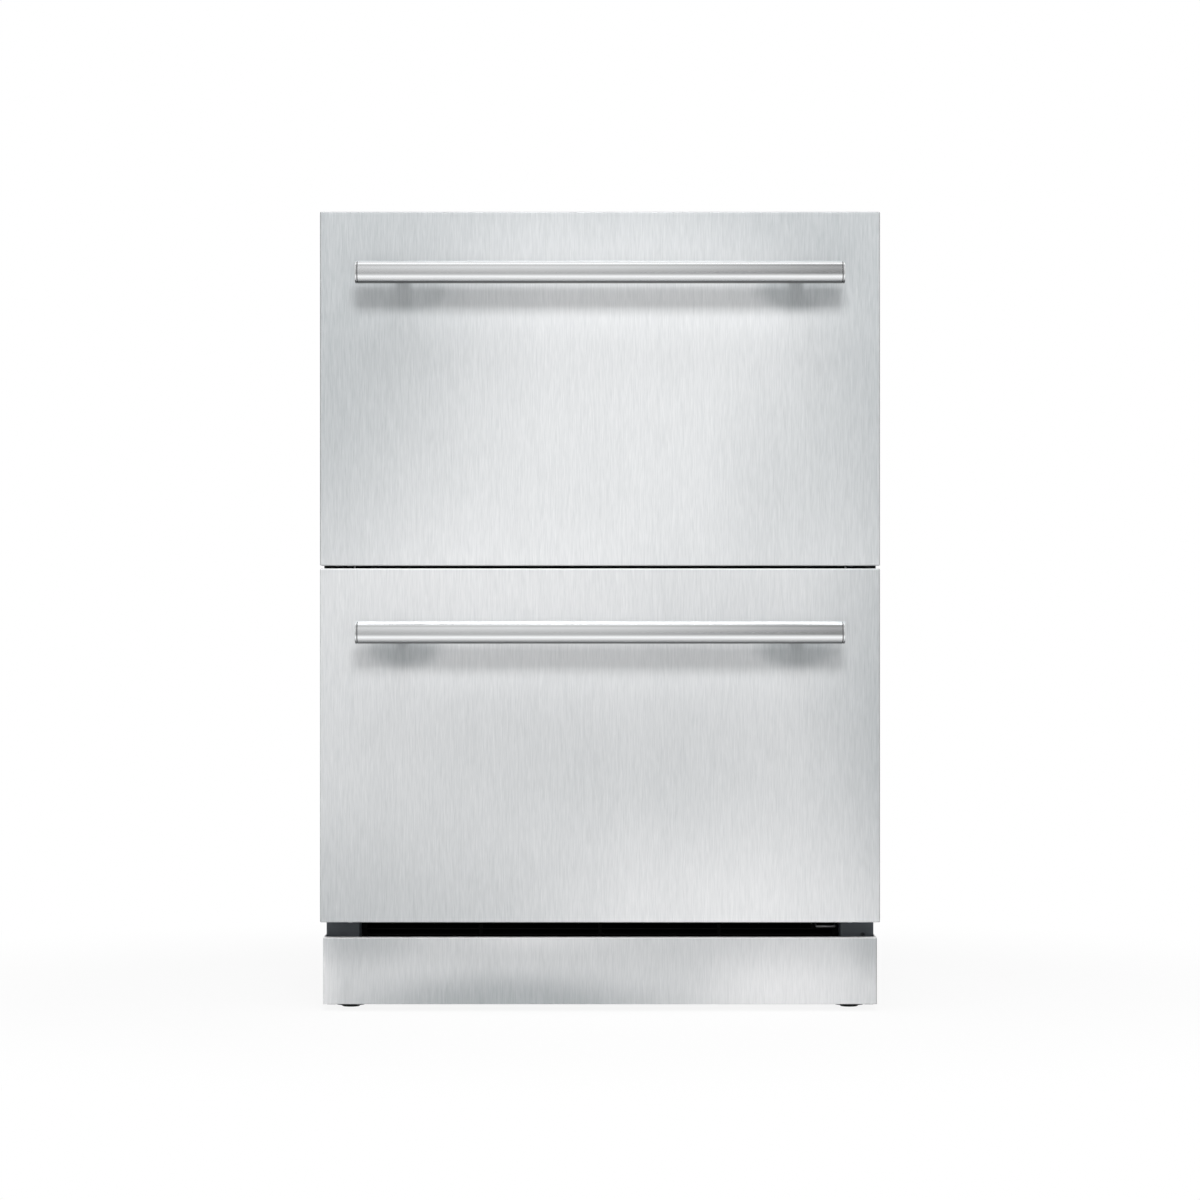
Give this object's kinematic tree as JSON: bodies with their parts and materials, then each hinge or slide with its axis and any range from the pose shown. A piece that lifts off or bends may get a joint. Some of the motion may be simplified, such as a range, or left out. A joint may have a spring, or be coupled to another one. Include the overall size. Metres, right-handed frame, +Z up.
{
  "type": "undercounter drawer refrigerator",
  "caption": "Undercounter refrigerator with stacked full-width drawers, brushed steel fronts, tubular handles and a recessed toe kick.",
  "frame": {"origin": "on the floor under the middle of the whole outline, handles included", "axes": "+Z up, the drawers open towards -Y, +X to the right as seen from the front"},
  "size_m": [0.606, 0.663, 0.867],
  "materials": {
    "cabinet_sheet": "satin",
    "galvanised": "satin",
    "stainless": "satin",
    "handle_steel": "polished",
    "liner_plastic": "satin",
    "foam": "matte",
    "gasket_rubber": "matte",
    "slate_plastic": "matte",
    "black_plastic": "satin",
    "slide_steel": "satin",
    "screw_steel": "satin",
    "black_paint": "satin",
    "copper": "satin",
    "fin_aluminium": "satin",
    "motor_metal": "satin",
    "display_glass": "gloss",
    "button_metal": "satin",
    "lamp_cover": "satin",
    "divider_plastic": "satin"
  },
  "bodies": {
    "cabinet": {"side_panel_left": "cabinet_sheet", "side_panel_right": "cabinet_sheet", "top_panel": "cabinet_sheet", "back_panel": "galvanised", "underside_panel": "galvanised", "face_frame": "black_paint", "inner_liner": "liner_plastic", "insulation_foam": "foam", "centre_rail": "black_paint", "base_pan": "galvanised", "foot_housings": "slate_plastic", "toe_kick": "stainless", "toe_kick_brackets": "galvanised", "intake_grille": "black_plastic", "worktop_brackets": "galvanised", "machine_cover": "galvanised", "cabinet_screws": "screw_steel", "slide_cabinet_members": "slide_steel", "compressor": "black_paint", "condenser_coil": "black_paint", "fan_shroud": "galvanised", "refrigerant_lines": "copper", "drip_tray": "black_plastic", "control_board_box": "black_plastic", "power_inlet": "black_plastic", "evaporator_coil": "fin_aluminium", "evaporator_cover": "liner_plastic", "evaporator_fan_motor": "motor_metal", "control_panel": "black_plastic", "display_window": "display_glass", "ceiling_lamp": "lamp_cover"},
    "upper_drawer": {"upper_front_skin": "stainless", "upper_inner_panel": "liner_plastic", "upper_gasket": "gasket_rubber", "upper_handle_bar": "handle_steel", "upper_handle_posts": "handle_steel", "upper_front_screws": "screw_steel", "upper_drawer_frame": "stainless", "upper_bin": "liner_plastic"},
    "lower_drawer": {"lower_front_skin": "stainless", "lower_inner_panel": "liner_plastic", "lower_gasket": "gasket_rubber", "lower_handle_bar": "handle_steel", "lower_handle_posts": "handle_steel", "lower_front_screws": "screw_steel", "lower_drawer_frame": "stainless", "lower_bin": "liner_plastic"},
    "upper_middle_members": {"upper_slide_middles": "slide_steel"},
    "lower_middle_members": {"lower_slide_middles": "slide_steel"},
    "bin_divider": {"upper_bin_divider": "divider_plastic"},
    "condenser_fan": {"condenser_fan": "black_plastic"},
    "evaporator_fan": {"evaporator_fan": "black_plastic"},
    "button_colder": {"button_colder": "button_metal"},
    "button_warmer": {"button_warmer": "button_metal"},
    "button_light": {"button_light": "button_metal"},
    "foot_front_left": {"foot_front_left": "screw_steel"},
    "foot_front_right": {"foot_front_right": "screw_steel"},
    "foot_rear_left": {"foot_rear_left": "screw_steel"},
    "foot_rear_right": {"foot_rear_right": "screw_steel"}
  },
  "joints": [
    {"name": "upper_drawer_slide", "type": "slide", "parent": "cabinet", "child": "upper_drawer", "axis": [0, -1, 0], "range_m": [0, 0.42]},
    {"name": "lower_drawer_slide", "type": "slide", "parent": "cabinet", "child": "lower_drawer", "axis": [0, -1, 0], "range_m": [0, 0.3]},
    {"name": "upper_middle_slide", "type": "slide", "parent": "cabinet", "child": "upper_middle_members", "axis": [0, -1, 0], "range_m": [0, 0.21]},
    {"name": "lower_middle_slide", "type": "slide", "parent": "cabinet", "child": "lower_middle_members", "axis": [0, -1, 0], "range_m": [0, 0.15]},
    {"name": "divider_slide", "type": "slide", "parent": "upper_drawer", "child": "bin_divider", "axis": [0, -1, 0], "range_m": [-0.18, 0.18]},
    {"name": "foot_front_left_height", "type": "slide", "parent": "cabinet", "child": "foot_front_left", "axis": [0, 0, -1], "range_m": [0, 0.025]},
    {"name": "foot_front_right_height", "type": "slide", "parent": "cabinet", "child": "foot_front_right", "axis": [0, 0, -1], "range_m": [0, 0.025]},
    {"name": "foot_rear_left_height", "type": "slide", "parent": "cabinet", "child": "foot_rear_left", "axis": [0, 0, -1], "range_m": [0, 0.025]},
    {"name": "foot_rear_right_height", "type": "slide", "parent": "cabinet", "child": "foot_rear_right", "axis": [0, 0, -1], "range_m": [0, 0.025]},
    {"name": "button_colder_press", "type": "slide", "parent": "cabinet", "child": "button_colder", "axis": [0, 1, 0], "range_m": [0, 0.0015], "stiffness_N_per_m": 400},
    {"name": "button_warmer_press", "type": "slide", "parent": "cabinet", "child": "button_warmer", "axis": [0, 1, 0], "range_m": [0, 0.0015], "stiffness_N_per_m": 400},
    {"name": "button_light_press", "type": "slide", "parent": "cabinet", "child": "button_light", "axis": [0, 1, 0], "range_m": [0, 0.0015], "stiffness_N_per_m": 400},
    {"name": "condenser_fan_spin", "type": "hinge", "parent": "cabinet", "child": "condenser_fan", "pos_m": [-0.015, 0.2376, 0.108], "axis": [1, 0, 0], "continuous": true},
    {"name": "evaporator_fan_spin", "type": "hinge", "parent": "cabinet", "child": "evaporator_fan", "pos_m": [0, 0.2455, 0.6998], "axis": [0, 1, 0], "continuous": true}
  ],
  "couplings": [
    {"joint": "upper_middle_slide", "follows": "upper_drawer_slide", "ratio": 0.5},
    {"joint": "lower_middle_slide", "follows": "lower_drawer_slide", "ratio": 0.5}
  ]
}
